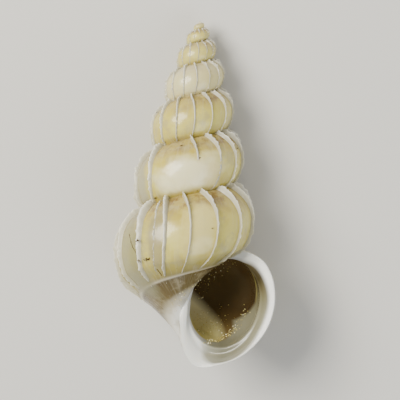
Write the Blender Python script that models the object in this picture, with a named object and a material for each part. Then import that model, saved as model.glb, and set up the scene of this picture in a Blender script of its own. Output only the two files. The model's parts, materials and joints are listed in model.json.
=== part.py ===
"""Wentletrap shell, lying on its back with the mouth up: one grown piece, so one solid.

The shell is a tube that coils down around an axis and widens as it goes. Its cross-section is
an oval with a straight base that runs in to the axis. Sections of that tube are lofted from the
apex to the mouth, out over the thickened lip and back inside as the bore. Thin ribs cross every
whorl, and they are sections of the same loft that stand out further than their neighbours.

The shell's own frame has the apex at its origin and the axis along Z, apex up, with the mouth
towards -Y. The last step lays the shell on its back, with the apex towards +Y.
"""
import math

import bmesh
import bpy
from mathutils import Matrix, Vector

MM = 0.001

# The coil, at the mouth. Reach is from the axis to the rib crests, drop is apex to tube centre.
TURNS = 8.5
FIRST_TURN = 0.7
REACH = 7.72 * MM
REACH_GROWTH = 1.693
DROP = 25.71 * MM
DROP_GROWTH = 2.547
EXTRA_DROP = 0.23 * MM
EXTRA_DROP_TURNS = 1.5
MOUTH_ANGLE = math.radians(-14)

# The tube's oval section: how much taller than wide, how far it leans, how close to the axis
SLENDER = 1.246
LEAN = math.radians(10.2)
PAST_AXIS = 0.08
AXIS_GAP = 0.03
FAR = 9
LEAST_FACING = 0.05
INNER_HEADING = -120

# The straight base of the section, and the turns before the mouth over which it fades
BASE_SLOPE = math.radians(-54)
BASE_DEPTH = 0.92
BASE_FADE_START = 0.04
BASE_FADE = 0.30
MOUTH_BEAK = 0.20
BEAK_BELL = (-112, 30)

# How much the section swells where the whorl above hides it, so that no gap is left inside
INNER_FILL = 0.25
INNER_BELL = (148, 30)

# The ribs: 14 to a turn in straight rows, with crowded thin ones on the last half turn
RIBS_PER_TURN = 14
FIRST_RIB_TURN = 2.9
RIB_PHASE = 0.004
RIB_HEIGHT = 0.062
RIB_SHOULDER = 0.035
SHOULDER_BELL = (64, 28)
RIB_FOOT = (-76, -54)
RIB_TOP = (92, 117)
RIB_HALF_THICKNESS = 0.0068
GAP_FROM_TURN = 6.4
SHORTEST_GAP = 0.05
SPIRE_RINGS = 12
UNEVEN_RIBS = ((0.731, 1.0), (0.700, 0.35), (0.664, 0.9), (0.617, 0.6), (0.580, 0.8),
               (0.542, 1.0), (1.950, 1.0), (1.880, 1.0), (1.808, 1.0), (1.736, 0.4), (1.672, 1.0))
UNEVEN_SPANS = ((0.53, 0.74), (1.65, 1.97))
CORD_HEIGHT = 0.16 * MM
CORD_BELL = (-60, 7)

# The worn patch on the last whorl but one, in turns before the mouth
WORN_MIDDLE = 1.765
WORN_WIDTH = 0.075
WORN_BELOW = 0.85
WORN_ABOVE = 0.10
WORN_EDGE = (15, 45)

# The lip: heading around the section, then how far the rim stands out from the rib crests, in mm
LIP_OUTER = ((-180, -0.41), (-144, -0.06), (-124, 0.78), (-110, 1.22), (-89, 0.60), (-60, 0.48),
             (-25, 0.68), (8, 0.78), (44, 0.66), (66, 0.12), (95, -0.35), (180, -0.41))
LIP_INNER = ((-180, -1.14), (-154, -0.98), (-129, -0.62), (-109, -0.30), (-63, 0.10), (-33, 0.04),
             (3, 0.12), (34, -0.18), (50, -0.44), (69, -0.98), (110, -1.20), (180, -1.14))
LIP_THICKNESS = 0.55 * MM
LIP_FULL_RADIUS = 2.6 * MM
# Each ring of the lip: its outline, the share of the way out to it, how far it is moved on in lip
# thicknesses, and its share of the step forward beside the axis
LIP_PROFILE = ((LIP_OUTER, 0.35, -1.3, 0.1), (LIP_OUTER, 0.90, -0.8, 0.4), (LIP_OUTER, 1.0, -0.3, 0.8),
               (LIP_OUTER, 0.98, 0.0, 1.0), (LIP_INNER, 0.98, -0.25, 0.9), (LIP_INNER, 0.42, -0.86, 0.3))
BAND_FORWARD = 0.62 * MM
BAND_BELL = (-168, 45)
WALL = 0.32 * MM
COLUMELLA_WALL = 0.42 * MM
COLUMELLA_BELL = (180, 45)
BORE_TURNS = 0.75
BORE_FIRST = 0.02
BORE_STEP = 0.05

# Angles around a section, from straight out of the axis: dense where the whorl shows. The base
# meets the axis at TIP.
TIP = -108.2
AROUND_SPIRE = (-180, -150, -128, TIP, -88, -70, -53, -35, -17, 0, 17, 34, 51, 68, 88, 140)
AROUND_LAST = (-180, -150, -128, TIP, -90, -73, -60, -50, -30, -7, 16, 38, 58, 78, 108, 152)
LAST_FROM = 1.35
LAST_FULL = 1.05

# The solid pillar around the axis, and the smooth bulb that the shell grew from
PILLAR_SPIRE = 0.17
PILLAR_MOUTH = 0.062
PILLAR_NARROWS = (15.0 * MM, 19.0 * MM)
PILLAR_SIDES = 12
PILLAR_STEPS = 16
PILLAR_CROWDING = 1.4
PILLAR_END = 29.2 * MM
PILLAR_TIP = 0.30 * MM
PILLAR_EXTRA = 0.13 * MM
BULB_RADIUS = 0.20 * MM
BULB_PROFILE = ((0.35, 0.10), (0.85, 0.45), (1.0, 1.0), (0.9, 1.5))

# How the shell lies on its back: it settles on the rib crests of two whorls, rolled towards the
# lip and with its apex down
ROLL = math.radians(12.86)
NOSE_DOWN = math.radians(13.68)

SHELL_COLOUR = (0.72, 0.64, 0.45, 1.0)
SHELL_ROUGHNESS = 0.35


def smooth(x):
    """Rise from 0 to 1 as x does, with level ends."""
    x = min(max(x, 0.0), 1.0)
    return x * x * (3 - 2 * x)


def ramp(x, ends):
    """Rise from 0 to 1 between two ends."""
    return smooth((x - ends[0]) / (ends[1] - ends[0]))


def bell(angle, middle, width):
    """A smooth bump of height 1 around an angle, in degrees."""
    away = (angle - middle + 180) % 360 - 180
    return math.exp(-(away / width) ** 2)


def along(points, angle):
    """Read a value at an angle from a short list of (angle, value) pairs."""
    angle = (angle + 180) % 360 - 180
    for (a, low), (b, high) in zip(points, points[1:]):
        if angle <= b:
            return low + (high - low) * smooth((angle - a) / (b - a))
    return points[-1][1]


def coil(turn):
    """Reach, drop, radius of the tube's centre and half width of the tube at a turn."""
    reach = REACH * (turn / TURNS) ** REACH_GROWTH
    late = max(turn - (TURNS - EXTRA_DROP_TURNS), 0.0) / EXTRA_DROP_TURNS
    drop = DROP * (turn / TURNS) ** DROP_GROWTH + EXTRA_DROP * late ** 2
    return reach, drop, reach * (1 - PAST_AXIS) / 2, reach * (1 + PAST_AXIS) / 2


def crest(turn, angle):
    """The section's oval at the rib crests: distance and direction from the tube's centre."""
    half = coil(turn)[3]
    out = half * math.cos(math.radians(angle))
    up = half * SLENDER * math.sin(math.radians(angle))
    leaned = Vector((out * math.cos(LEAN) + up * math.sin(LEAN),
                     up * math.cos(LEAN) - out * math.sin(LEAN)))
    return leaned.length, leaned.normalized()


def rib_height(turn, angle):
    """How far the ribs stand out: tallest at the shoulder, where they meet the whorl above."""
    return coil(turn)[0] * (RIB_HEIGHT + RIB_SHOULDER * bell(angle, *SHOULDER_BELL))


def ground(turn, angle):
    """The section between the ribs, with its straight base: distance from the tube's centre."""
    reach, _, centre, half = coil(turn)
    length, way = crest(turn, angle)
    oval = (length - rib_height(turn, angle)) * (1 + INNER_FILL * bell(angle, *INNER_BELL))
    facing = math.cos(BASE_SLOPE) * way.x + math.sin(BASE_SLOPE) * way.y
    base = BASE_DEPTH * half / facing if facing > LEAST_FACING else FAR * half
    heading = math.degrees(math.atan2(way.y, way.x))
    to_axis = (centre - AXIS_GAP * reach) / -way.x if way.x < -LEAST_FACING else FAR * half
    if heading > math.degrees(BASE_SLOPE):
        body = min(oval, base, to_axis)
    elif heading > INNER_HEADING:
        body = min(base, to_axis)
    else:
        body = min(max(oval, min(base, to_axis)), to_axis)
    mouth = min(oval * (1 + MOUTH_BEAK * bell(angle, *BEAK_BELL)), to_axis)
    share = smooth((TURNS - turn - BASE_FADE_START) / BASE_FADE)
    return mouth + (body - mouth) * share


def rib_share(turn, angle):
    """1 on the whorl's side, 0 on its base and where the whorl above hides it."""
    angle = (angle + 180) % 360 - 180
    share = ramp(angle, RIB_FOOT) * (1 - ramp(angle, RIB_TOP))
    worn = math.exp(-((TURNS - turn - WORN_MIDDLE) / WORN_WIDTH) ** 4)
    return share * (1 - worn * (WORN_BELOW + (WORN_ABOVE - WORN_BELOW) * ramp(angle, WORN_EDGE)))


def at(turn, way, distance, forward=0.0):
    """A point of the tube, given from its centre, and moved on towards the mouth."""
    _, drop, centre, _ = coil(turn)
    spin = MOUTH_ANGLE + 2 * math.pi * (TURNS - turn)
    out = Vector((math.cos(spin), math.sin(spin), 0))
    ahead = Vector((math.sin(spin), -math.cos(spin), 0))
    return out * (centre + way.x * distance) + Vector((0, 0, way.y * distance - drop)) + ahead * forward


def around(turn):
    """The angles of a section's points, which move down onto the base on the last turn."""
    share = smooth((LAST_FROM - (TURNS - turn)) / (LAST_FROM - LAST_FULL))
    return [a + (b - a) * share for a, b in zip(AROUND_SPIRE, AROUND_LAST)]


def wall_ring(turn, rib=0.0):
    """One section of the outer wall. rib is 1 on a rib's crest and 0 between the ribs."""
    ring = []
    for angle in around(turn):
        length, way = crest(turn, angle)
        low = ground(turn, angle)
        cord = CORD_HEIGHT * (turn / TURNS) ** REACH_GROWTH * bell(angle, *CORD_BELL)
        high = max(length, low)
        ring.append(at(turn, way, low + cord + (high - low) * rib * rib_share(turn, angle)))
    return ring


def rib_rows():
    """Turn and strength of every rib, from the apex to the mouth."""
    count = int((TURNS - FIRST_RIB_TURN) * RIBS_PER_TURN)
    rows = [(TURNS - RIB_PHASE - k / RIBS_PER_TURN, 1.0) for k in range(1, count)]
    for low, high in UNEVEN_SPANS:
        rows = [row for row in rows if not low < TURNS - row[0] < high]
    rows += [(TURNS - before, strength) for before, strength in UNEVEN_RIBS]
    return sorted(rows)


def outer_rings():
    """The outer wall from the apex to just behind the lip."""
    spire = (FIRST_RIB_TURN - FIRST_TURN) / SPIRE_RINGS
    rings = [wall_ring(FIRST_TURN + spire * k) for k in range(SPIRE_RINGS)]
    rows = rib_rows()
    for (turn, strength), (after, _) in zip(rows, rows[1:] + [(TURNS, 0)]):
        rings.append(wall_ring(turn - RIB_HALF_THICKNESS))
        rings.append(wall_ring(turn, strength))
        rings.append(wall_ring(turn + RIB_HALF_THICKNESS))
        if turn > GAP_FROM_TURN and after - turn > SHORTEST_GAP:
            rings.append(wall_ring((turn + after) / 2))
    return rings


def lip_ring(offsets, share, forward, step):
    """A ring at the mouth: share 0 lies on the wall, 1 on the outline that offsets gives.

    It is moved on by forward lip thicknesses, less near the axis, where it steps forward instead.
    """
    ring = []
    for angle in around(TURNS):
        length, way = crest(TURNS, angle)
        heading = math.degrees(math.atan2(way.y, way.x))
        rim = length + along(offsets, heading) * MM
        low = ground(TURNS, angle)
        distance = low + (rim - low) * share
        radius = coil(TURNS)[2] + way.x * distance
        ahead = forward * LIP_THICKNESS * smooth(radius / LIP_FULL_RADIUS)
        ahead += BAND_FORWARD * step * bell(heading, *BAND_BELL)
        ring.append(at(TURNS, way, distance, ahead))
    return ring


def bore_ring(turn):
    """One section of the bore, which is a plain oval inside the wall."""
    ring = []
    for angle in around(TURNS):
        length, way = crest(turn, angle)
        size = (turn / TURNS) ** REACH_GROWTH
        depth = rib_height(turn, angle) + size * (WALL + COLUMELLA_WALL * bell(angle, *COLUMELLA_BELL))
        inside = min(length - depth, ground(turn, angle) - size * WALL)
        ring.append(at(turn, way, inside))
    return ring


def lip_rings():
    """The lip, from the wall behind it over the rim and in to the bore."""
    return [lip_ring(*profile) for profile in LIP_PROFILE]


def bore_rings():
    """The bore, from behind the lip back to where it is closed off out of sight."""
    count = int(BORE_TURNS / BORE_STEP)
    return [bore_ring(TURNS - BORE_FIRST)] + [bore_ring(TURNS - BORE_STEP * k) for k in range(1, count)]


def loft(name, rings):
    """Join rings of equal count into one closed mesh, capped at both ends."""
    mesh = bmesh.new()
    rows = [[mesh.verts.new(point) for point in ring] for ring in rings]
    count = len(rings[0])
    for low, high in zip(rows, rows[1:]):
        for k in range(count):
            after = (k + 1) % count
            mesh.faces.new((low[k], low[after], high[after], high[k]))
    for row in (rows[0], rows[-1]):
        middle = mesh.verts.new(sum((v.co for v in row), Vector()) / count)
        for k in range(count):
            mesh.faces.new((row[k], row[(k + 1) % count], middle))
    bmesh.ops.recalc_face_normals(mesh, faces=mesh.faces)
    bmesh.ops.triangulate(mesh, faces=mesh.faces)
    data = bpy.data.meshes.new(name)
    mesh.to_mesh(data)
    mesh.free()
    return bpy.data.objects.new(name, data)


def pillar():
    """The solid pillar that the whorls wind around, with the bulb at its top."""
    rings = []
    for share, down in BULB_PROFILE:
        rings.append((share * BULB_RADIUS, -down * BULB_RADIUS))
    for k in range(1, PILLAR_STEPS):
        drop = PILLAR_END * (k / PILLAR_STEPS) ** PILLAR_CROWDING
        turn = TURNS * (drop / DROP) ** (1 / DROP_GROWTH)
        low, high = PILLAR_NARROWS
        share = PILLAR_SPIRE + (PILLAR_MOUTH - PILLAR_SPIRE) * smooth((drop - low) / (high - low))
        rings.append((share * coil(turn)[0] + PILLAR_EXTRA * (1 - drop / PILLAR_END), -drop))
    rings.append((PILLAR_TIP, -PILLAR_END))
    corners = [2 * math.pi * k / PILLAR_SIDES for k in range(PILLAR_SIDES)]
    return loft("pillar", [[Vector((r * math.cos(a), r * math.sin(a), z)) for a in corners]
                           for r, z in rings])


def finish(name):
    """The shell's plain colour, for the model without its surface detail."""
    material = bpy.data.materials.new(name)
    material.use_nodes = True
    principled = material.node_tree.nodes["Principled BSDF"]
    principled.inputs["Base Color"].default_value = SHELL_COLOUR
    principled.inputs["Roughness"].default_value = SHELL_ROUGHNESS
    principled.inputs["Metallic"].default_value = 0.0
    return material


def collection(name):
    """A new collection in the scene."""
    made = bpy.data.collections.new(name)
    bpy.context.scene.collection.children.link(made)
    return made


def lay_down(shell, helper):
    """Turn the shell onto its back and set its box on the floor, centred over the origin."""
    on_back = Matrix.Rotation(math.radians(-90), 4, "X")
    turned = Matrix.Rotation(-NOSE_DOWN, 4, "X") @ Matrix.Rotation(ROLL, 4, "Y") @ on_back
    points = [turned @ vertex.co for vertex in shell.data.vertices]
    low = Vector([min(p[i] for p in points) for i in range(3)])
    high = Vector([max(p[i] for p in points) for i in range(3)])
    shift = Matrix.Translation(Vector((-(low.x + high.x) / 2, -(low.y + high.y) / 2, -low.z)))
    shell.matrix_world = shift @ turned
    helper.matrix_world = shift @ turned


def main():
    for old in list(bpy.data.objects):
        bpy.data.objects.remove(old, do_unlink=True)
    parts = collection("wentletrap_shell")
    helpers = collection("helpers")

    shell = loft("shell", outer_rings() + lip_rings() + bore_rings())
    shell.data.materials.append(finish("shell_cream"))
    parts.objects.link(shell)

    core = pillar()
    core.hide_render = True
    core.display_type = "WIRE"
    helpers.objects.link(core)

    join = shell.modifiers.new("join whorls and pillar", "BOOLEAN")
    join.operation = "UNION"
    join.solver = "EXACT"
    join.use_self = True
    join.object = core
    lay_down(shell, core)


main()
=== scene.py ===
# %% [markdown]
# # A wentletrap shell, lying on its back
#
# A wentletrap is a sea snail's shell: one tube of lime that coils down around an axis and widens
# as it goes. Thin blades, the ribs, stand across the tube. Each one was the lip of the mouth once,
# left behind when the snail grew on. A shell follows a rule, so this lesson draws it from the rule:
# a flat section of the tube, a spiral that carries it, and a blade that is repeated on the way.

# %% Tools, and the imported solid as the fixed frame
import json
import math

import bmesh
import bpy
import numpy as np
from mathutils import Matrix, Vector

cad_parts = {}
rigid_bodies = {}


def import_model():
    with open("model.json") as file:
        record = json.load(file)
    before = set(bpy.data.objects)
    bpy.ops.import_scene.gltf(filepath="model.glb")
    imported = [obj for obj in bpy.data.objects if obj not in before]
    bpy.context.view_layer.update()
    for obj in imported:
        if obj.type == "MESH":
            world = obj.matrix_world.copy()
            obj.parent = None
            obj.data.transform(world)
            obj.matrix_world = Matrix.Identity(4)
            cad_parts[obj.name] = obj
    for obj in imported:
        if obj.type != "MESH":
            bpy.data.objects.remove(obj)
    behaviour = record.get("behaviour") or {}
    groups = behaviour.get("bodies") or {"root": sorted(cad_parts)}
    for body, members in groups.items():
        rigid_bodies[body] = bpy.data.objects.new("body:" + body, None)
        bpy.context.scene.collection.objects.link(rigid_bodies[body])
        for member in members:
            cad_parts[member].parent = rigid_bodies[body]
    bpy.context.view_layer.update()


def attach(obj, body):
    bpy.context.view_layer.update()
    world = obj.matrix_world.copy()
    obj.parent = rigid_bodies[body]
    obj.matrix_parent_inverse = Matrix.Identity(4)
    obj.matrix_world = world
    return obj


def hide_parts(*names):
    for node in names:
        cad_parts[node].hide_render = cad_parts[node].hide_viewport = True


MM = 0.001
for old in list(bpy.data.objects):
    bpy.data.objects.remove(old, do_unlink=True)
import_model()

# %% [markdown]
# ## The coil
#
# Everything about the shell grows together: at each turn the tube is the same shape, only larger.
# So the section is drawn once, in a plane where the reach of the shell is 1, and the coil gives the
# reach, the drop below the apex and the heading at any turn. Both grow as powers of the turn, which
# lets the whorls grow tall more quickly than they grow wide, as the photographed shell's do.

# %% Sizes of the coil
TURNS = 8.5
FIRST_TURN = 0.7
REACH = 7.72 * MM
REACH_GROWTH = 1.693
DROP = 25.71 * MM
DROP_GROWTH = 2.547
EXTRA_DROP = 0.23 * MM
EXTRA_DROP_TURNS = 1.5
MOUTH_ANGLE = math.radians(-14)

# The shell lies on its back, rolled towards the lip and with its apex down
ROLL = math.radians(12.86)
NOSE_DOWN = math.radians(13.68)
APEX = Vector((-0.766, 15.525, 1.748)) * MM
SHELL_TO_FLOOR = (Matrix.Translation(APEX) @ Matrix.Rotation(-NOSE_DOWN, 4, "X")
                  @ Matrix.Rotation(ROLL, 4, "Y") @ Matrix.Rotation(math.radians(-90), 4, "X"))
print("turns:", TURNS, "reach at the mouth, mm:", round(REACH / MM, 2))

# %% [markdown]
# ## The section
#
# Cut a whorl across and the wall is an oval that leans, with a straight base that runs in to the
# axis. The base shows below the last whorl. Angles go around the oval from straight out, 0 degrees,
# up to the suture where the whorl above sits, near 90, and down to the axis, near -108.

# %% The section's outline, where the reach of the shell is 1
PAST_AXIS = 0.08
CENTRE = (1 - PAST_AXIS) / 2
HALF = (1 + PAST_AXIS) / 2
SLENDER = 1.246
LEAN = math.radians(10.2)
AXIS_GAP = 0.03
LEAST_FACING = 0.05
BASE_SLOPE = math.radians(-54)
BASE_DEPTH = 0.92
BASE_FADE = (0.04, 0.34)
HIDDEN_BASE = -120
FAR = 9 * HALF
# Bumps around the section: how far they stand out, then the angle and width of each
MOUTH_BEAK, BEAK_BELL = 0.20, (-112, 30)
INNER_FILL, INNER_BELL = 0.25, (148, 30)
RIB_HEIGHT = 0.062
RIB_SHOULDER, SHOULDER_BELL = 0.035, (64, 28)
CORD_HEIGHT, CORD_BELL = 0.11 * MM / REACH, (-60, 4.5)


def smooth(x):
    """Rise from 0 to 1 as x does, with level ends."""
    x = np.clip(x, 0, 1)
    return x * x * (3 - 2 * x)


def rises(x, start, end):
    """Rise smoothly from 0 at the start to 1 at the end."""
    return smooth((x - start) / (end - start))


def bell(angle, middle, width):
    """A smooth bump of height 1 around an angle, in degrees."""
    away = (angle - middle + 180) % 360 - 180
    return np.exp(-(away / width) ** 2)


def oval(angle):
    """The oval at the rib crests: distance from its centre and direction (outward, up)."""
    out = HALF * np.cos(np.radians(angle))
    up = HALF * SLENDER * np.sin(np.radians(angle))
    x = out * math.cos(LEAN) + up * math.sin(LEAN)
    y = up * math.cos(LEAN) - out * math.sin(LEAN)
    length = np.hypot(x, y)
    return length, x / length, y / length


def rib_height(angle):
    """How far the ribs stand out: tallest at the shoulder, where they meet the whorl above."""
    return RIB_HEIGHT + RIB_SHOULDER * bell(angle, *SHOULDER_BELL)


def wall(turn, angle):
    """The wall between the ribs, with its straight base: distance from the oval's centre."""
    length, out, up = oval(angle)
    round_wall = (length - rib_height(angle)) * (1 + INNER_FILL * bell(angle, *INNER_BELL))
    facing = math.cos(BASE_SLOPE) * out + math.sin(BASE_SLOPE) * up
    base = np.where(facing > LEAST_FACING, BASE_DEPTH * HALF / np.maximum(facing, LEAST_FACING), FAR)
    to_axis = np.where(-out > LEAST_FACING, (CENTRE - AXIS_GAP) / np.maximum(-out, LEAST_FACING), FAR)
    heading = np.degrees(np.arctan2(up, out))
    side = np.minimum(np.minimum(round_wall, base), to_axis)
    under = np.minimum(base, to_axis)
    inner = np.minimum(np.maximum(round_wall, under), to_axis)
    body = np.where(heading > math.degrees(BASE_SLOPE), side,
                    np.where(heading > HIDDEN_BASE, under, inner))
    mouth = np.minimum(round_wall * (1 + MOUTH_BEAK * bell(angle, *BEAK_BELL)), to_axis)
    return mouth + (body - mouth) * rises(TURNS - turn, *BASE_FADE)


def unwound(turn, angle, distance, ahead=0.0):
    """Points of the unwound shell: outward, turn, up, and how far they are moved on."""
    _, out, up = oval(angle)
    return np.stack(np.broadcast_arrays(CENTRE + out * distance, turn, up * distance, ahead), -1)


print("section, mm at the mouth:", [round(2 * HALF * v * REACH / MM, 2) for v in (1, SLENDER)])

# %% [markdown]
# ## One tree that winds
#
# The pieces are drawn unwound: x is how far out, y is the turn, z is how far up. A Geometry Nodes
# tree then winds any such drawing onto the coil. Wall, ribs and dirt all go through the same tree,
# so they can't part. One small function adds a node with its settings and links.

# %% Helpers for node trees


def give(tree, socket, value):
    """Give an input a value or another node's output. A node stands for its first output."""
    if isinstance(value, bpy.types.Node):
        value = value.outputs[0]
    if isinstance(value, bpy.types.NodeSocket):
        tree.links.new(value, socket)
    else:
        socket.default_value = value


def add(tree, kind, inputs=(), **settings):
    """Add a node with its settings, and give its inputs, by name or in order, what they get."""
    node = tree.nodes.new(kind)
    for name, value in settings.items():
        setattr(node, name, value)
    for name, value in inputs.items() if isinstance(inputs, dict) else enumerate(inputs):
        give(tree, node.inputs[name], value)
    return node


def new_tree(name, sizes):
    """A Geometry Nodes tree with a mesh in, a mesh out and a named input for each size."""
    tree = bpy.data.node_groups.new(name, "GeometryNodeTree")
    tree.interface.new_socket("Geometry", in_out="INPUT", socket_type="NodeSocketGeometry")
    tree.interface.new_socket("Geometry", in_out="OUTPUT", socket_type="NodeSocketGeometry")
    for label, value in sizes.items():
        kind = {float: "NodeSocketFloat", int: "NodeSocketInt"}.get(type(value), value)
        socket = tree.interface.new_socket(label, in_out="INPUT", socket_type=kind)
        if kind != value:
            socket.default_value = value
    return tree, tree.nodes.new("NodeGroupInput").outputs


def run_tree(tree, start, values=None):
    """Run a tree on a start mesh and return what it makes as a plain mesh."""
    holder = bpy.data.objects.new(tree.name, start)
    bpy.context.scene.collection.objects.link(holder)
    step = holder.modifiers.new(tree.name, "NODES")
    step.node_group = tree
    for item in tree.interface.items_tree:
        if item.in_out == "INPUT" and item.name in (values or {}):
            step[item.identifier] = values[item.name]
    depsgraph = bpy.context.evaluated_depsgraph_get()
    made = bpy.data.meshes.new_from_object(holder.evaluated_get(depsgraph),
                                           preserve_all_data_layers=True, depsgraph=depsgraph)
    bpy.data.objects.remove(holder)
    return made


# %% The winding tree
winding, given = new_tree("wind onto the coil", {
    "Turns": TURNS, "Reach": REACH, "Reach Growth": REACH_GROWTH, "Drop": DROP,
    "Drop Growth": DROP_GROWTH, "Extra Drop": EXTRA_DROP, "Extra From": TURNS - EXTRA_DROP_TURNS,
    "Mouth Angle": MOUTH_ANGLE})
place = add(winding, "ShaderNodeSeparateXYZ", {0: add(winding, "GeometryNodeInputPosition")}).outputs
ahead = add(winding, "GeometryNodeInputNamedAttribute", {"Name": "ahead"})
share = add(winding, "ShaderNodeMath", (place["Y"], given["Turns"]), operation="DIVIDE")
grown = add(winding, "ShaderNodeMath", (share, given["Reach Growth"]), operation="POWER")
reach = add(winding, "ShaderNodeMath", (grown, given["Reach"]), operation="MULTIPLY")
dropped = add(winding, "ShaderNodeMath", (share, given["Drop Growth"]), operation="POWER")
late = add(winding, "ShaderNodeMapRange", {"Value": place["Y"], "From Min": given["Extra From"],
    "From Max": given["Turns"]})
squared = add(winding, "ShaderNodeMath", (late, late), operation="MULTIPLY")
extra = add(winding, "ShaderNodeMath", (squared, given["Extra Drop"]), operation="MULTIPLY")
drop = add(winding, "ShaderNodeMath", (dropped, given["Drop"], extra), operation="MULTIPLY_ADD")
left = add(winding, "ShaderNodeMath", (given["Turns"], place["Y"]), operation="SUBTRACT")
spin = add(winding, "ShaderNodeMath", (left, 2 * math.pi, given["Mouth Angle"]),
    operation="MULTIPLY_ADD")
behind = add(winding, "ShaderNodeMath", (ahead, -1.0), operation="MULTIPLY")
flat = add(winding, "ShaderNodeCombineXYZ", {"X": place["X"], "Y": behind, "Z": place["Z"]})
sized = add(winding, "ShaderNodeVectorMath", {0: flat, "Scale": reach}, operation="SCALE")
turned = add(winding, "ShaderNodeVectorRotate", {"Vector": sized, "Angle": spin},
    rotation_type="Z_AXIS")
lowered = add(winding, "ShaderNodeCombineXYZ", {"Z": drop})
wound = add(winding, "ShaderNodeVectorMath", (turned, lowered), operation="SUBTRACT")
moved = add(winding, "GeometryNodeSetPosition", {"Geometry": given["Geometry"], "Position": wound})
add(winding, "NodeGroupOutput", {0: moved})
print("winding tree:", len(winding.nodes), "nodes")

# %% [markdown]
# ## The finish of lime
#
# The shell is aragonite, laid down in thin glassy coats. It isn't a flat cream: light goes some way
# in, the coats are yellow where they are thick, brown stain sits under each suture and on the base,
# and the lip is new and white as porcelain. The wall's UV map holds the place on the unwound shell,
# so each stain can follow the whorls instead of the world's axes.

# %% Colours of the shell, turned from sRGB to linear


def linear(hexed):
    """An sRGB hex colour as the linear values that Blender's sockets want."""
    parts = [int(hexed[k:k + 2], 16) / 255 for k in (1, 3, 5)]
    return [p / 12.92 if p <= 0.04045 else ((p + 0.055) / 1.055) ** 2.4 for p in parts] + [1.0]


def new_material(name, roughness, **shader):
    """A Principled material: its tree and its shader node."""
    material = bpy.data.materials.new(name)
    material.use_nodes = True
    tree = material.node_tree
    principled = tree.nodes["Principled BSDF"]
    principled.inputs["Roughness"].default_value = roughness
    for label, value in shader.items():
        principled.inputs[label.replace("_", " ")].default_value = value
    return material, tree, principled


def with_stops(ramp, stops):
    """Set a Color Ramp's stops from pairs of (position, sRGB hex)."""
    elements = ramp.color_ramp.elements
    while len(elements) < len(stops):
        elements.new(1.0)
    for element, (position, colour) in zip(elements, stops):
        element.position, element.color = position, linear(colour)
    return ramp


def around(angle):
    """Where an angle of the section lies on the UV map's second axis."""
    return (angle + 180) / 360


def colours_around(tree, place, stops):
    """A colour that changes around the tube, from pairs of (angle, sRGB hex)."""
    return with_stops(add(tree, "ShaderNodeValToRGB", {0: place}),
                      [(around(angle), colour) for angle, colour in stops])


print("suture at", around(90), "and base cord at", round(around(CORD_BELL[0]), 3), "around the map")

# %% Where each colour of the lime lies
WALL_COLOURS = ((-150, "#d9d6c9"), (-104, "#e6e4da"), (-99, "#d6cfb8"), (-92, "#6f5e33"),
                (-66, "#615028"), (-61.5, "#d3c7a6"), (-57, "#877c4e"), (-36, "#b8ac5e"),
                (-8, "#ddd26e"), (26, "#d9cb64"), (48, "#c3b058"), (66, "#ad9a50"),
                (84, "#c9b67c"), (150, "#d9d6c9"))
SUTURE_STAIN = ((20, "#000000"), (44, "#909090"), (60, "#ffffff"), (76, "#ffffff"), (90, "#404040"))
# Places that differ: where along and around, how far each way, and colour. The whorl above the last one
# is worn white on the front.
# The left limbs are thin, and their grey is painted shade that darkens them and dims the highlight on
# them.
WORN_AND_SHADED_PLACES = ((0.929, 0.52, 0.0085, 0.30, "#8e8963"), (0.8135, 0.50, 0.0062, 0.30, "#a09b80"),
          (0.7905, 0.502, 0.0125, 0.105, "#f8f1c6"), (0.7812, 0.475, 0.0042, 0.09, "#f0e2a4"),
          (0.9165, 0.535, 0.0028, 0.18, "#9c9068"), (0.9045, 0.535, 0.0062, 0.13, "#e4d68a"))
# Shares of pale along the coil, for the spire
SPIRE_PALE = ((0.16, "#c0c0c0"), (0.24, "#404040"), (0.40, "#303030"), (0.50, "#808080"),
              (0.57, "#d0d0d0"), (0.62, "#a0a0a0"), (0.66, "#000000"))
GROWTH_LINES = 120
SPIRAL_THREADS = 150
PATCH_SIZE = 2.6 * MM
THIN_SIZE = 1.5 * MM
# Noise values between which the coats set in, and how much of each there is at most
YELLOW_FROM, YELLOW_MOST, YELLOW_ANGLES = (0.42, 0.62), 0.6, (-60, -46)
GREY_FROM, GREY_MOST = (0.52, 0.62), 0.42
STAIN_FROM, STAIN_MOST = (0.47, 0.58), 0.85
LINES_FROM, LINES_MOST = (0.50, 0.72), 0.2
PLACE_NOISE, PLACE_EDGE, PLACE_MOST = 1.6, (1.95, 1.35), 0.8

RIM_REACH = ((-180, "#ffffff"), (-112, "#ffffff"), (-98, "#9c9c9c"), (-84, "#303030"),
             (-64, "#484848"), (-40, "#787878"), (60, "#787878"), (110, "#9f9f9f"), (140, "#ffffff"))
SLOPE_REACH = ((-110, "#202020"), (-75, "#808080"), (-48, "#c0c0c0"), (-30, "#ffffff"),
               (-12, "#a0a0a0"), (4, "#101010"), (20, "#000000"))
OLIVE_COLOURS = ((-105, "#b3a35a"), (-80, "#bdb16f"), (-60, "#c4bb80"), (-30, "#cfc89c"),
                 (5, "#d2cba8"))
SLOPE_COLOURS = ((-150, "#dedcd0"), (-114, "#d2d1c8"), (-95, "#989683"), (-75, "#7a7863"),
                 (-55, "#7f7c66"), (-30, "#8b8870"), (-5, "#8b886d"), (14, "#7a7556"), (26, "#655d3f"),
                 (40, "#42381c"), (70, "#5b5036"))
FOLD_COLOUR = "#a3985e"
FOLD_EDGE, FOLD_MOST, FOLD_ANGLES = (0.0002, 0.0010), 0.85, (2, 14)
DEEP_BROWN_COLOURS = ((-75, "#7a6a44"), (-45, "#64522f"), (-12, "#43331c"), (20, "#4b3a20"), (70, "#6b5430"))
DEEP_BROWN_ANGLES = (-27, -8)
# The deep brown's edge slants: turns of the section for each unit along the map, and where it starts
SLANT, SLANT_START = 2900 / 360, 1.074
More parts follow.
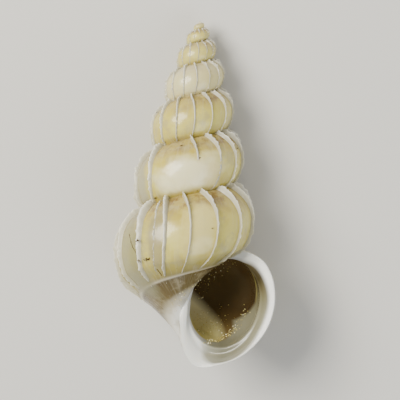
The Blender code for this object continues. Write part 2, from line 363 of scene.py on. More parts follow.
# Where the lip, the inside and the floor begin along the map, and how soft each edge is
LIP_EDGE = (0.995, 1.001)
RIM_ENDS, RIM_EDGE = (1.0260, 1.0450), (-0.001, 0.006)
SLOPE_ENDS, SLOPE_EDGE = (1.0515, 1.0600), (-0.001, 0.0015)
# How strongly the bore glows: painted light, standing in for light that comes through the thin wall
BORE_PAINTED_GLOW = 0.10
RIB_COLOURS = ((-88, "#8a7f58"), (-70, "#bdb28a"), (-52, "#e0dabc"), (0, "#f0ebd6"), (80, "#f2eedc"))
# A rib's thin faces get painted shade, darker towards the foot as if the dark showed through them; its
# crest is white
FACE_PAINTED_SHADE = ((0.0, "#d2cebc"), (0.45, "#cecdc6"), (0.86, "#deddd6"), (0.97, "#ffffff"))

print("places with a colour of their own:", len(WORN_AND_SHADED_PLACES))

# %% The wall's coats
lime, tree, principled = new_material("glazed aragonite wall", 0.26, IOR=1.55,
                                      Subsurface_Weight=0.22, Subsurface_Scale=0.0007,
                                      Coat_Weight=0.35, Coat_Roughness=0.08)
principled.inputs["Subsurface Radius"].default_value = (1.0, 0.8, 0.5)
map_place = add(tree, "ShaderNodeUVMap", uv_map="winding")
map_place = add(tree, "ShaderNodeSeparateXYZ", {0: map_place}).outputs
u, v = map_place["X"], map_place["Y"]
flat_place = add(tree, "ShaderNodeCombineXYZ", {"X": u, "Y": v})
spot = add(tree, "ShaderNodeTexCoord").outputs["Object"]
patches = add(tree, "ShaderNodeTexNoise", {"Vector": spot, "Scale": 1 / PATCH_SIZE, "Detail": 3.0,
    "Roughness": 0.55})
off_base = add(tree, "ShaderNodeMapRange", {"Value": v, "From Min": around(YELLOW_ANGLES[0]),
    "From Max": around(YELLOW_ANGLES[1]), "To Max": YELLOW_MOST})
# Where the coats are thin the wall is grey, and brown dirt has settled in places under the suture
thin = add(tree, "ShaderNodeTexNoise", {"Vector": spot, "Scale": 1 / THIN_SIZE, "Detail": 4.0,
    "Roughness": 0.6}).outputs["Color"]
thin = add(tree, "ShaderNodeSeparateColor", {0: thin}).outputs
under_suture = add(tree, "ShaderNodeMath", (colours_around(tree, v, SUTURE_STAIN), STAIN_MOST),
    operation="MULTIPLY")


def line_noise(along, across, detail, roughness):
    """Noise drawn out into lines, with so many cells along the tube and across it."""
    drawn_out = add(tree, "ShaderNodeVectorMath", (flat_place, (along, across, 0.0)),
                    operation="MULTIPLY")
    return add(tree, "ShaderNodeTexNoise", {"Vector": drawn_out, "Scale": 1.0, "Detail": detail,
        "Roughness": roughness})


growth = line_noise(TURNS * GROWTH_LINES, 6.0, 3.0, 0.6)
threads = line_noise(TURNS * 9.0, SPIRAL_THREADS, 2.0, 0.5)
colour = colours_around(tree, v, WALL_COLOURS)
for noise, (start, end), most, tint in ((patches, YELLOW_FROM, off_base, "#c2ad40"),
                                        (thin[0], GREY_FROM, GREY_MOST, "#aca07c"),
                                        (thin[1], STAIN_FROM, under_suture, "#80602a"),
                                        (growth, LINES_FROM, LINES_MOST, "#e2dab0")):
    share = add(tree, "ShaderNodeMapRange", {"Value": noise, "From Min": start, "From Max": end,
        "To Max": most})
    colour = add(tree, "ShaderNodeMix", {0: share, 6: colour, 7: linear(tint)},
        data_type="RGBA").outputs[2]
relief = add(tree, "ShaderNodeMath", (threads, 0.5, growth), operation="MULTIPLY_ADD")
give(tree, principled.inputs["Normal"], add(tree, "ShaderNodeBump", {"Height": relief, "Strength": 0.5,
    "Distance": 0.03 * MM}))
print("growth lines to a turn:", GROWTH_LINES)

# %% Worn places and painted shade on the left limbs, with edges that the noise breaks up, and the pale spire
for at_scroll, at_around, far_along, far_around, tint in WORN_AND_SHADED_PLACES:
    off = add(tree, "ShaderNodeVectorMath", (flat_place, (at_scroll, at_around, 0.0)),
        operation="SUBTRACT")
    shares = add(tree, "ShaderNodeVectorMath", (off, (far_along, far_around, 1.0)), operation="DIVIDE")
    far = add(tree, "ShaderNodeVectorMath", {0: shares}, operation="LENGTH").outputs["Value"]
    broken = add(tree, "ShaderNodeMath", (patches, PLACE_NOISE, far), operation="MULTIPLY_ADD")
    held = add(tree, "ShaderNodeMapRange", {"Value": broken, "From Min": PLACE_EDGE[0],
        "From Max": PLACE_EDGE[1], "To Max": PLACE_MOST})
    colour = add(tree, "ShaderNodeMix", {0: held, 6: colour, 7: linear(tint)},
        data_type="RGBA").outputs[2]
# The fourth and fifth whorls from the mouth are paler, and the apex is too
paler = with_stops(add(tree, "ShaderNodeValToRGB", {0: u}), SPIRE_PALE)
colour = add(tree, "ShaderNodeMix", {0: paler, 6: colour, 7: linear("#e8e0b8")},
    data_type="RGBA").outputs[2]
print("wall finish:", len(tree.nodes), "nodes so far")

# %% The lip and the bore
# The lip is white porcelain. Inside, the rim's slope is grey and thin, then comes an olive floor
# and darker brown deep in, on the far side of a slanting line.


def past(reach, ends, edge):
    """How far on along the map a point is from a line that shifts around it, and a mask of that."""
    line = add(tree, "ShaderNodeMapRange", {"Value": colours_around(tree, v, reach), "To Min": ends[0],
        "To Max": ends[1]})
    on = add(tree, "ShaderNodeMath", (u, line), operation="SUBTRACT")
    return on, add(tree, "ShaderNodeMapRange", {"Value": on, "From Min": edge[0], "From Max": edge[1]})


_, inside = past(RIM_REACH, RIM_ENDS, RIM_EDGE)
past_slope, deep = past(SLOPE_REACH, SLOPE_ENDS, SLOPE_EDGE)
on_lip = add(tree, "ShaderNodeMapRange", {"Value": u, "From Min": LIP_EDGE[0], "From Max": LIP_EDGE[1]})
slant = add(tree, "ShaderNodeMath", (u, -SLANT, SLANT * SLANT_START), operation="MULTIPLY_ADD")
above_line = add(tree, "ShaderNodeMath", (v, slant), operation="ADD")
deep_brown = add(tree, "ShaderNodeMapRange", {"Value": above_line, "From Min": around(DEEP_BROWN_ANGLES[0]),
    "From Max": around(DEEP_BROWN_ANGLES[1])})
# A pale fold runs down the far wall where the slope ends
fold_starts = add(tree, "ShaderNodeMapRange", {"Value": v, "From Min": around(FOLD_ANGLES[0]),
    "From Max": around(FOLD_ANGLES[1]), "To Max": FOLD_MOST})
fold = add(tree, "ShaderNodeMapRange", {"Value": add(tree, "ShaderNodeMath", {0: past_slope},
    operation="ABSOLUTE"), "From Min": FOLD_EDGE[0], "From Max": FOLD_EDGE[1], "To Min": fold_starts,
    "To Max": 0.0})
floor_colour = add(tree, "ShaderNodeMix", {0: deep_brown, 6: colours_around(tree, v, OLIVE_COLOURS),
    7: colours_around(tree, v, DEEP_BROWN_COLOURS)}, data_type="RGBA").outputs[2]
bore_colour = add(tree, "ShaderNodeMix", {0: deep, 6: colours_around(tree, v, SLOPE_COLOURS),
    7: floor_colour}, data_type="RGBA").outputs[2]
bore_colour = add(tree, "ShaderNodeMix", {0: fold, 6: bore_colour, 7: linear(FOLD_COLOUR)},
    data_type="RGBA").outputs[2]
for share, tint in ((on_lip, linear("#e4e4dc")), (inside, bore_colour)):
    colour = add(tree, "ShaderNodeMix", {0: share, 6: colour, 7: tint}, data_type="RGBA").outputs[2]
give(tree, principled.inputs["Base Color"], colour)
# Painted glow: the bore emits its own colour, a painted light that stands in for light coming through
# the thin wall
give(tree, principled.inputs["Emission Color"], bore_colour)
give(tree, principled.inputs["Emission Strength"], add(tree, "ShaderNodeMath", (inside, BORE_PAINTED_GLOW),
    operation="MULTIPLY"))
print("material:", lime.name, "with", len(tree.nodes), "nodes")

# %% The ribs' finish
white, tree, principled = new_material("white aragonite ribs", 0.38, IOR=1.55,
                                       Subsurface_Weight=0.3, Subsurface_Scale=0.0006)
principled.inputs["Subsurface Radius"].default_value = (1.0, 0.9, 0.7)
blade_colour = colours_around(
    tree, add(tree, "ShaderNodeAttribute", attribute_name="around").outputs["Fac"], RIB_COLOURS)
blade_height = add(tree, "ShaderNodeAttribute", attribute_name="height").outputs["Fac"]
# Painted shade on the rib's faces, darkening its colour from the crest down to the foot
face_painted_shade = with_stops(add(tree, "ShaderNodeValToRGB", {0: blade_height}), FACE_PAINTED_SHADE)
give(tree, principled.inputs["Base Color"], add(tree, "ShaderNodeMix", {0: 1.0, 6: blade_colour,
    7: face_painted_shade}, data_type="RGBA", blend_type="MULTIPLY").outputs[2])
print("material:", white.name)

# %% [markdown]
# ## The wall, the lip and the bore
#
# The wall is rows of points, one row to a section. At the mouth the rows go on over the thick lip
# and back inside. The lip's two outlines stand out from the oval by an amount that changes around
# it: a beak at the lower left, a thin edge where it meets the whorl above.

# %% Rows of the wall
AROUND = 84
WALL_ROWS_PER_TURN = 60
SPIRE_ROWS_PER_TURN = 36
SPIRE_END = 3.0
LIP_START, LIP_SECOND = 0.045, 0.03
# The base curves down along the pillar
HOLLOW_RADIUS = 0.34
HOLLOW_DEPTH = 0.13
HOLLOW_ANGLES = (-150, -115, -62, -72)
HOLLOW_TURNS = (0.5, 0.7)
ANGLES = np.arange(-180, 180, 360 / AROUND)


def wall_rows(turns):
    """Unwound rows of the outer wall, with the fine cord that runs round the base's edge."""
    turn, angle = np.meshgrid(turns, ANGLES, indexing="ij")
    rows = unwound(turn, angle, wall(turn, angle) + CORD_HEIGHT * bell(angle, *CORD_BELL))
    near_axis = np.clip(1 - rows[..., 0] / HOLLOW_RADIUS, 0, 1) ** 2
    below = (rises(angle, *HOLLOW_ANGLES[:2]) * rises(angle, *HOLLOW_ANGLES[2:])
             * rises(TURNS - turn, *HOLLOW_TURNS))
    rows[..., 2] -= HOLLOW_DEPTH * near_axis * below
    return rows


spire = np.arange(FIRST_TURN, SPIRE_END, 1 / SPIRE_ROWS_PER_TURN)
whorls = np.arange(SPIRE_END, TURNS - LIP_START, 1 / WALL_ROWS_PER_TURN)
outer_turns = np.concatenate([spire, whorls])
outer = wall_rows(outer_turns)
print("outer wall:", outer.shape[:2], "rows and points around")

# %% Rows of the lip
LIP_OUTER = ((-180, -0.41), (-144, -0.06), (-124, 0.78), (-110, 1.22), (-89, 0.60), (-60, 0.48),
             (-25, 0.68), (8, 0.78), (44, 0.66), (66, 0.12), (95, -0.35), (140, -0.42))
LIP_INNER = ((-180, -1.14), (-154, -0.98), (-129, -0.20), (-109, 0.30), (-63, 0.22), (-33, 0.04),
             (3, 0.12), (34, -0.18), (50, -0.44), (69, -0.98), (110, -1.20), (150, -1.18))
LIP_THICKNESS = 0.55 * MM / REACH
LIP_FULL_RADIUS = 2.6 * MM / REACH
# Each row of the lip: share of the way out to the outline, how far on in lip thicknesses,
# share of the outer outline against the inner one, turns back from the mouth, and share of the
# band's step forward
LIP_PROFILE = ((0.35, -1.3, 1.0, 0.0, 0.1), (0.90, -0.8, 1.0, 0.0, 0.4), (1.00, -0.3, 1.0, 0.0, 0.8),
               (0.98, -0.02, 1.0, 0.0, 1.0), (0.985, -0.04, 0.75, 0.0, 1.05),
               (0.985, -0.12, 0.40, 0.0, 1.05), (0.975, -0.24, 0.06, 0.0, 0.9),
               (0.66, -0.50, 0.0, 0.0, 0.6), (0.28, -1.00, 0.0, 0.0, 0.3))
ROWS_BETWEEN = 5
# Beside the axis the lip stands forward as a pale band, the columellar lip
BAND_FORWARD, BAND_BELL = 0.62 * MM / REACH, (-168, 45)


# The bore is a plain oval inside the wall
WALL_THICKNESS = 0.32 * MM / REACH
COLUMELLA_THICKNESS, COLUMELLA_BELL = 0.42 * MM / REACH, (180, 45)


def bore_radius(turn, angle):
    """The bore's surface: distance from the oval's centre."""
    depth = rib_height(angle) + WALL_THICKNESS + COLUMELLA_THICKNESS * bell(angle, *COLUMELLA_BELL)
    return np.minimum(oval(angle)[0] - depth, wall(turn, angle) - WALL_THICKNESS)


def outline(points, heading):
    """Read a closed outline at a heading, by a curve that passes smoothly through its points."""
    keys = np.array(points, float)
    keys = np.concatenate([keys[-2:] - (360, 0), keys, keys[:3] + (360, 0)])
    slope = (keys[2:, 1] - keys[:-2, 1]) / (keys[2:, 0] - keys[:-2, 0])
    low = np.clip(np.searchsorted(keys[:, 0], heading, side="right") - 1, 1, len(keys) - 3)
    width = keys[low + 1, 0] - keys[low, 0]
    t = (heading - keys[low, 0]) / width
    return ((1 + 2 * t) * (1 - t) ** 2 * keys[low, 1] + t * (1 - t) ** 2 * width * slope[low - 1]
            + t * t * (3 - 2 * t) * keys[low + 1, 1] + t * t * (t - 1) * width * slope[low])


def lip_row(out_share, on, outer_share, back, forward):
    """One row of the lip, from its place in the profile."""
    length, out, up = oval(ANGLES)
    heading = np.degrees(np.arctan2(up, out))
    stands = (outer_share * outline(LIP_OUTER, heading)
              + (1 - outer_share) * outline(LIP_INNER, heading)) * MM / REACH
    low = outer_share * wall(TURNS, ANGLES) + (1 - outer_share) * bore_radius(TURNS, ANGLES)
    distance = low + (length + stands - low) * out_share
    fade = smooth((CENTRE + out * distance) / LIP_FULL_RADIUS)
    band = BAND_FORWARD * forward * bell(heading, *BAND_BELL)
    return unwound(TURNS - back, ANGLES, distance, on * LIP_THICKNESS * fade + band)


def between(rows, count):
    """A smooth run of rows through the given rows, with count steps from each to the next."""
    padded = np.concatenate([rows[:1], rows, rows[-1:]])
    made = []
    for k in range(1, len(padded) - 2):
        before, low, high, after = padded[k - 1:k + 3]
        for t in np.arange(count) / count:
            made.append(0.5 * (2 * low + (high - before) * t
                               + (2 * before - 5 * low + 4 * high - after) * t ** 2
                               + (3 * low - before - 3 * high + after) * t ** 3))
    return np.stack(made + [rows[-1]])


# %% Rows of the bore
BORE_START, BORE_SECOND = 0.02, 0.05
BORE_END = 0.70
BORE_STEP = 1 / 60


def bore_rows(turns):
    """Unwound rows of the bore."""
    turn, angle = np.meshgrid(turns, ANGLES, indexing="ij")
    return unwound(turn, angle, bore_radius(turn, angle))


lip_controls = np.concatenate([wall_rows(TURNS - np.array([LIP_START, LIP_SECOND])),
                               [lip_row(*profile) for profile in LIP_PROFILE],
                               bore_rows(TURNS - np.array([BORE_START, BORE_SECOND]))])
lip = between(lip_controls, ROWS_BETWEEN)
bore = bore_rows(np.arange(TURNS - BORE_SECOND - BORE_STEP, TURNS - BORE_END, -BORE_STEP))
rows = np.concatenate([outer, lip, bore])
print("rows:", len(outer), "wall,", len(lip), "lip,", len(bore), "bore")

# %% One closed mesh from the rows, with its place on the unwound shell as UV map
LIP_MAP = (1.0, 1.05)
BORE_MAP_END = 1.13
scroll = np.concatenate([outer_turns / TURNS, np.linspace(LIP_MAP[0], LIP_MAP[1], len(lip)),
                         np.linspace(LIP_MAP[1], BORE_MAP_END, len(bore))])


def set_values(mesh, name, values):
    """Store one number for each point of a mesh."""
    layer = mesh.attributes.new(name, "FLOAT", "POINT")
    layer.data.foreach_set("value", np.asarray(values, np.float32).ravel())


def outward(mesh):
    """Turn all faces of a closed mesh outwards."""
    work = bmesh.new()
    work.from_mesh(mesh)
    bmesh.ops.recalc_face_normals(work, faces=work.faces)
    work.to_mesh(mesh)
    work.free()


def closed_tube(name, rows, scroll):
    """Rows of points as a closed tube, with a UV map of (place along, place around)."""
    count, around_count = rows.shape[:2]
    low = np.arange(count - 1)[:, None] * around_count
    here = np.arange(around_count)[None]
    after = (here + 1) % around_count
    quads = np.stack([low + here, low + after, low + around_count + after,
                      low + around_count + here], -1).reshape(-1, 4)
    ends = [list(range(around_count))[::-1],
            list(range((count - 1) * around_count, count * around_count))]
    mesh = bpy.data.meshes.new(name)
    mesh.from_pydata(rows[..., :3].reshape(-1, 3).tolist(), [], quads.tolist() + ends)
    set_values(mesh, "ahead", rows[..., 3])
    corner = np.zeros(len(mesh.loops), int)
    mesh.loops.foreach_get("vertex_index", corner)
    part_way = (corner % around_count) / around_count
    wraps = np.zeros(len(corner), bool)
    wraps[:4 * len(quads)] = np.repeat((quads % around_count)[:, 0] == around_count - 1, 4)
    part_way[wraps & (corner % around_count == 0)] = 1.0
    spots = np.stack([scroll[corner // around_count], part_way], -1)
    mesh.uv_layers.new(name="winding").data.foreach_set("uv", spots.astype(np.float32).ravel())
    return mesh


tube = closed_tube("tube", rows, scroll)
print("tube:", len(tube.vertices), "points")

# %% Wind the tube onto the coil
tube = run_tree(winding, tube)
outward(tube)
print("wound tube, mm:", [round(v / MM, 2) for v in np.ptp(np.array([p.co for p in tube.vertices]), 0)])

# %% [markdown]
# ## The pillar, and one skin
#
# The whorls wind around a solid pillar, the columella. In the shell they have grown together, so
# the tube is joined to itself and to the pillar by a Boolean. What is left is one closed skin with
# nothing hidden inside it, which light that enters the lime needs in order to look right.

# %% The pillar and the bulb at its top
PILLAR_SPIRE = 0.17
PILLAR_MOUTH = 0.062
PILLAR_NARROWS = (15.0 * MM, 19.0 * MM)
PILLAR_END = 27.6 * MM
PILLAR_TIP = 0.25 * MM
PILLAR_EXTRA = 0.13 * MM
PILLAR_STEPS = 48
PILLAR_SIDES = 24
PILLAR_CROWDING = 1.4
BULB_RADIUS = 0.20 * MM
BULB_PROFILE = ((0.18, 0.02), (0.55, 0.14), (0.85, 0.45), (0.98, 0.8), (1.0, 1.1), (0.9, 1.5))
PILLAR_MAP = around(-112)

pillar_rings = [(share * BULB_RADIUS, down * BULB_RADIUS) for share, down in BULB_PROFILE]
for step in range(1, PILLAR_STEPS):
    down = PILLAR_END * (step / PILLAR_STEPS) ** PILLAR_CROWDING
    turn = TURNS * (down / DROP) ** (1 / DROP_GROWTH)
    share = PILLAR_SPIRE + (PILLAR_MOUTH - PILLAR_SPIRE) * rises(down, *PILLAR_NARROWS)
    radius = share * REACH * (turn / TURNS) ** REACH_GROWTH + PILLAR_EXTRA * (1 - down / PILLAR_END)
    pillar_rings.append((radius, down))
pillar_rings.append((PILLAR_TIP, PILLAR_END))
sides = 2 * math.pi * np.arange(PILLAR_SIDES) / PILLAR_SIDES
pillar_rows = np.array([np.stack([r * np.cos(sides), r * np.sin(sides),
                                  np.full(PILLAR_SIDES, -down), 0 * sides], -1)
                        for r, down in pillar_rings])
pillar_turn = (np.array([down for _, down in pillar_rings]) / DROP) ** (1 / DROP_GROWTH)
pillar = closed_tube("pillar", pillar_rows, pillar_turn)
for spot in pillar.uv_layers["winding"].data:
    spot.uv[1] = PILLAR_MAP
outward(pillar)
print("pillar:", len(pillar.polygons), "faces")

# %% Join the tube with itself and with the pillar
SHARP_ANGLE = math.radians(50)


def join(name, mesh, helper):
    """The closed outer skin of a mesh that crosses itself, together with a helper mesh."""
    first, second = (bpy.data.objects.new(n, m) for n, m in ((name, mesh), ("helper", helper)))
    for thing in (first, second):
        bpy.context.scene.collection.objects.link(thing)
    step = first.modifiers.new("join", "BOOLEAN")
    step.operation, step.solver, step.use_self, step.object = "UNION", "EXACT", True, second
    depsgraph = bpy.context.evaluated_depsgraph_get()
    skin = bpy.data.meshes.new_from_object(first.evaluated_get(depsgraph),
                                           preserve_all_data_layers=True, depsgraph=depsgraph)
    for thing in (first, second):
        bpy.data.objects.remove(thing)
    return skin


def finished(name, mesh, *materials):
    """Lay a wound mesh down on the floor and make it a piece of the shell."""
    mesh.transform(SHELL_TO_FLOOR)
    mesh.name = name
    mesh.materials.clear()
    for material in materials:
        mesh.materials.append(material)
    mesh.shade_smooth()
    mesh.set_sharp_from_angle(angle=SHARP_ANGLE)
    piece = bpy.data.objects.new(name, mesh)
    bpy.context.scene.collection.objects.link(piece)
    triangles = sum(len(face.vertices) - 2 for face in mesh.polygons)
    print(f"{name}: {len(mesh.polygons)} faces, {triangles} triangles")
    return piece


skin = join("whorls", tube, pillar)
whorls_piece = finished("whorls", skin, lime)

# %% [markdown]
# ## The ribs
#
# One blade is drawn, standing on the unwound wall from the base up to the suture: thick at its
# foot, thin and bent back at its crest, and wide at the shoulder where it leans on the whorl above.
# A tree sets it on every row of the coil. Ribs that the photo shows thin, broken or worn get a
# strength below 1, and noise along the coil makes each crest uneven in its own way.

# %% Where the ribs stand
RIBS_PER_TURN = 14
FIRST_RIB_TURN = 1.9
RIB_PHASE = 0.004
# Ribs off the even spacing: turns before the mouth, strength, and thickness
UNEVEN_RIBS = ((0.795, 1.0, 1.2), (0.735, 1.0, 2.0), (0.706, 0.27, 0.5), (0.666, 0.9, 3.1),
               (0.588, 0.9, 2.4), (0.545, 1.0, 2.0), (1.948, 1.0, 1.1), (1.883, 1.0, 1.5),
               (1.808, 1.0, 1.3), (1.655, 1.0, 1.8))
UNEVEN_SPANS = ((0.53, 0.80), (1.60, 1.97))
THICKNESS_SPREAD = 0.16
WORN_MIDDLE = 1.788
WORN_WIDTH = 0.105

rng = np.random.default_rng(14)
even = [(RIB_PHASE + k / RIBS_PER_TURN, 1.0, 1.0)
        for k in range(1, int((TURNS - FIRST_RIB_TURN) * RIBS_PER_TURN))]
rib_rows = np.array(sorted([row for row in even
                            if not any(low < row[0] < high for low, high in UNEVEN_SPANS)]
                           + list(UNEVEN_RIBS)))
rib_rows[:, 2] *= rng.normal(1, THICKNESS_SPREAD, len(rib_rows)).clip(0.7, 1.4)
print("ribs:", len(rib_rows))

# %% One blade
BLADE_TOP = 122
BLADE_HALF = 0.074 * MM / REACH
BLADE_SHOULDER, WIDE_BELL = 0.35, (70, 15)
BLADE_RISES, BLADE_FALLS, RIDGE_RISES = (-74, -38), (92, 117), (-92, -80)
BLADE_END = 9
BLADE_SUNK = 0.004
# The blade is thinnest on the base
THINNEST, THIN_ANGLES = 0.3, (-52, 48)
BLADE_BEND, BEND_RISE, BEND_MOST = 0.010, 0.06, 1.6
# Turns by which a rib's two ends run ahead of its middle
BLADE_SWAY = 0.027
SWAY_MIDDLE = 8
SWAY_SPAN = 72
SWAY_MOST = 1.1
BLADE_ROOT = 0.05
CORD_RIDGE = 0.006
# The blade's outline, cut across: share of its height, and share of its half thickness
BLADE_PROFILE = ((-0.4, 1.6), (0.06, 1.15), (0.40, 0.78), (0.86, 0.70), (1.0, 0.34))
WEAR, WEAR_ANGLES = 1.25, (38, 12)


def blade(turn, low_end, steps):
    """A blade that stands on the unwound wall at a turn, from low_end up to the suture."""
    angle = np.linspace(low_end, BLADE_TOP, steps)
    sway = BLADE_SWAY * np.clip((angle - SWAY_MIDDLE) / SWAY_SPAN, -SWAY_MOST, SWAY_MOST) ** 2
    foot = wall(turn + sway, angle)
    length, way_out, way_up = oval(angle)
    rise = np.minimum(np.maximum(length - foot, 0.0), rib_height(angle))
    ends = rises(angle, low_end, low_end + BLADE_END)
    share = rises(angle, *BLADE_RISES) * (1 - rises(angle, *BLADE_FALLS)) * ends
    ridge = CORD_RIDGE * rises(angle, *RIDGE_RISES) * (angle < 0) * ends
    rise = np.maximum(rise * share, ridge) - BLADE_SUNK
    wide = ((1 + BLADE_SHOULDER * bell(angle, *WIDE_BELL))
            * (THINNEST + (1 - THINNEST) * rises(angle, *THIN_ANGLES)))
    sides = [(h, w) for h, w in BLADE_PROFILE] + [(h, -w) for h, w in reversed(BLADE_PROFILE)]
    bend = BLADE_BEND * np.clip(rise / BEND_RISE, 0, BEND_MOST)
    rows = np.stack([
        unwound(sway, angle, foot + (h * BLADE_ROOT if h < 0 else h * rise),
                w * BLADE_HALF * wide + bend * max(h, 0) ** 2)
        for h, w in sides], 1)
    mesh = closed_tube("rib blade", rows, np.zeros(steps))
    heights = np.array([max(h, 0) for h, _ in sides])
    worn_off = WEAR * rises(angle, *WEAR_ANGLES)
    for name, values in (("rise", rise), ("way_out", way_out), ("way_up", way_up),
                         ("worn_off", worn_off), ("around", around(angle))):
        set_values(mesh, name, np.repeat(values[:, None], len(sides), 1))
    set_values(mesh, "height", np.tile(heights, (steps, 1)))
    outward(mesh)
    return bpy.data.objects.new("rib blade", mesh)


def rib_points(rows):
    """One point on the unwound coil for each rib, with what makes that rib its own."""
    mesh = bpy.data.meshes.new("rib points")
    mesh.from_pydata([(0, TURNS - before, 0) for before in rows[:, 0]], [], [])
    set_values(mesh, "strength", rows[:, 1])
    set_values(mesh, "thickness", rows[:, 2])
    set_values(mesh, "worn", np.exp(-((rows[:, 0] - WORN_MIDDLE) / WORN_WIDTH) ** 4))
    return mesh


# %% The tree that sets the ribs
ribs_tree, given = new_tree("set the ribs", {
    "Blade": "NodeSocketObject", "Finish": "NodeSocketMaterial", "Turns": TURNS,
    "Thickness Growth": -1.0, "Height Growth": -0.35, "Crest Noise": 0.13, "Notch": 0.15,
    "Waver": 0.022, "Noise Scale": 10.0})
blade_in = add(ribs_tree, "GeometryNodeObjectInfo", {"Object": given["Blade"]})
stood = add(ribs_tree, "GeometryNodeInstanceOnPoints", {"Points": given["Geometry"],
    "Instance": blade_in.outputs["Geometry"]})
real = add(ribs_tree, "GeometryNodeRealizeInstances", {0: stood})
own = {name: add(ribs_tree, "GeometryNodeInputNamedAttribute", {"Name": name})
       for name in ("ahead", "height", "rise", "strength", "thickness", "worn", "worn_off",
                    "way_out", "way_up")}
spot = add(ribs_tree, "GeometryNodeInputPosition")
stretched = add(ribs_tree, "ShaderNodeVectorMath", (spot, (1.0, 6.0, 1.0)), operation="MULTIPLY")
noise = add(ribs_tree, "ShaderNodeTexNoise", {"Vector": stretched, "Scale": given["Noise Scale"],
    "Detail": 3.0, "Roughness": 0.62})
split = add(ribs_tree, "ShaderNodeSeparateXYZ", {0: noise.outputs["Color"]}).outputs
centred = add(ribs_tree, "ShaderNodeMath", (split["X"], 0.5), operation="SUBTRACT")
lobes = add(ribs_tree, "ShaderNodeMath", {0: centred}, operation="ABSOLUTE")
notched = add(ribs_tree, "ShaderNodeMath", (lobes, given["Notch"]), operation="SUBTRACT")
sideways = add(ribs_tree, "ShaderNodeMath", (split["Y"], 0.5), operation="SUBTRACT")
turn_here = add(ribs_tree, "ShaderNodeSeparateXYZ", {0: spot}).outputs["Y"]
turn_share = add(ribs_tree, "ShaderNodeMath", (turn_here, given["Turns"]), operation="DIVIDE")
thicker = add(ribs_tree, "ShaderNodeMath", (turn_share, given["Thickness Growth"]), operation="POWER")
squared = add(ribs_tree, "ShaderNodeMath", (thicker, thicker), operation="MULTIPLY")
rougher = add(ribs_tree, "ShaderNodeMath", (given["Crest Noise"], squared), operation="MULTIPLY")
uneven = add(ribs_tree, "ShaderNodeMath", (notched, rougher), operation="MULTIPLY")
wear = add(ribs_tree, "ShaderNodeMath", (own["worn"], own["worn_off"]), operation="MULTIPLY")
kept = add(ribs_tree, "ShaderNodeMath", (1.0, wear), operation="SUBTRACT")
taller = add(ribs_tree, "ShaderNodeMath", (turn_share, given["Height Growth"]), operation="POWER")
strong = add(ribs_tree, "ShaderNodeMath", (own["strength"], taller), operation="MULTIPLY")
stands = add(ribs_tree, "ShaderNodeMath", (kept, strong), operation="MULTIPLY")
lost = add(ribs_tree, "ShaderNodeMath", (stands, 1.0), operation="SUBTRACT")
change = add(ribs_tree, "ShaderNodeMath", (lost, own["rise"], uneven), operation="MULTIPLY_ADD")
offset = add(ribs_tree, "ShaderNodeMath", (change, own["height"]), operation="MULTIPLY")
way = add(ribs_tree, "ShaderNodeCombineXYZ", {"X": own["way_out"], "Z": own["way_up"]})
push = add(ribs_tree, "ShaderNodeVectorMath", {0: way, "Scale": offset}, operation="SCALE")
uneven_ribs = add(ribs_tree, "GeometryNodeSetPosition", {"Geometry": real, "Offset": push})
thick_here = add(ribs_tree, "ShaderNodeMath", (own["thickness"], thicker), operation="MULTIPLY")
waver = add(ribs_tree, "ShaderNodeMath", (sideways, given["Waver"]), operation="MULTIPLY")
thick = add(ribs_tree, "ShaderNodeMath", (own["ahead"], thick_here, waver), operation="MULTIPLY_ADD")
stored = add(ribs_tree, "GeometryNodeStoreNamedAttribute", {"Geometry": uneven_ribs, "Name": "ahead",
    "Value": thick})
wound = add(ribs_tree, "GeometryNodeGroup", {"Geometry": stored}, node_tree=winding)
coated = add(ribs_tree, "GeometryNodeSetMaterial", {"Geometry": wound, "Material": given["Finish"]})
add(ribs_tree, "NodeGroupOutput", {0: coated})
print("rib tree:", len(ribs_tree.nodes), "nodes")

# %% Set the ribs, in groups that share a blade
# On the spire the next whorl covers the ribs' lower ends. The last ones before the mouth stand
# where the base fades into the mouth's shape, so each of them has a blade of its own.
COVERED_FROM = 0.98
TINY_FROM = 4.0
SUTURE_ANGLE = -56
OPEN_END = -94


def rib_group(low, high, turn, low_end, steps):
    """The ribs from low to high turns before the mouth, all with the blade of one turn."""
    rows = rib_rows[(rib_rows[:, 0] >= low) & (rib_rows[:, 0] < high)]
    return run_tree(ribs_tree, rib_points(rows), {"Blade": blade(turn, low_end, steps),
                                                  "Finish": white})


def merged(meshes):
    """Several meshes as one."""
    work = bmesh.new()
    for mesh in meshes:
        work.from_mesh(mesh)
    whole = bpy.data.meshes.new("merged")
    work.to_mesh(whole)
    work.free()
    return whole


groups = [rib_group(TINY_FROM, TURNS, TURNS - 2, SUTURE_ANGLE, 44),
          rib_group(COVERED_FROM, TINY_FROM, TURNS - 2, SUTURE_ANGLE, 90),
          rib_group(BASE_FADE[1], COVERED_FROM, TURNS - 0.8, OPEN_END, 130)]
for before in rib_rows[rib_rows[:, 0] < BASE_FADE[1], 0]:
    groups.append(rib_group(before, before + 0.001, TURNS - before, OPEN_END, 130))
ribs_piece = finished("ribs", merged(groups), white)

# %% [markdown]
# ## Sand and dirt
#
# The photographed shell still holds what it was found in. Golden sand has drifted along the floor
# of the bore and clings to the edge where the mouth meets the base. Dark dirt sits on a few ribs and
# in the sutures, and two fine cracks run down the last whorl. Both are grains: one tree scatters
# points where the sand lies, and a second one sets a grain on each point.

# %% Where the sand lies
# Lines on the unwound shell, as (angle, place along): the drift, and the edge of the mouth
DRIFT_LINE = ((-105, 1.0468), (-86, 1.0531), (-66, 1.0566), (-26, 1.0569), (-8, 1.0556))
EDGE_LINE = ((-12, 1.0753), (8, 1.0748), (31, 1.0702), (52, 1.0619))
DRIFT_REACH = 0.0010
EDGE_REACH = 0.0010
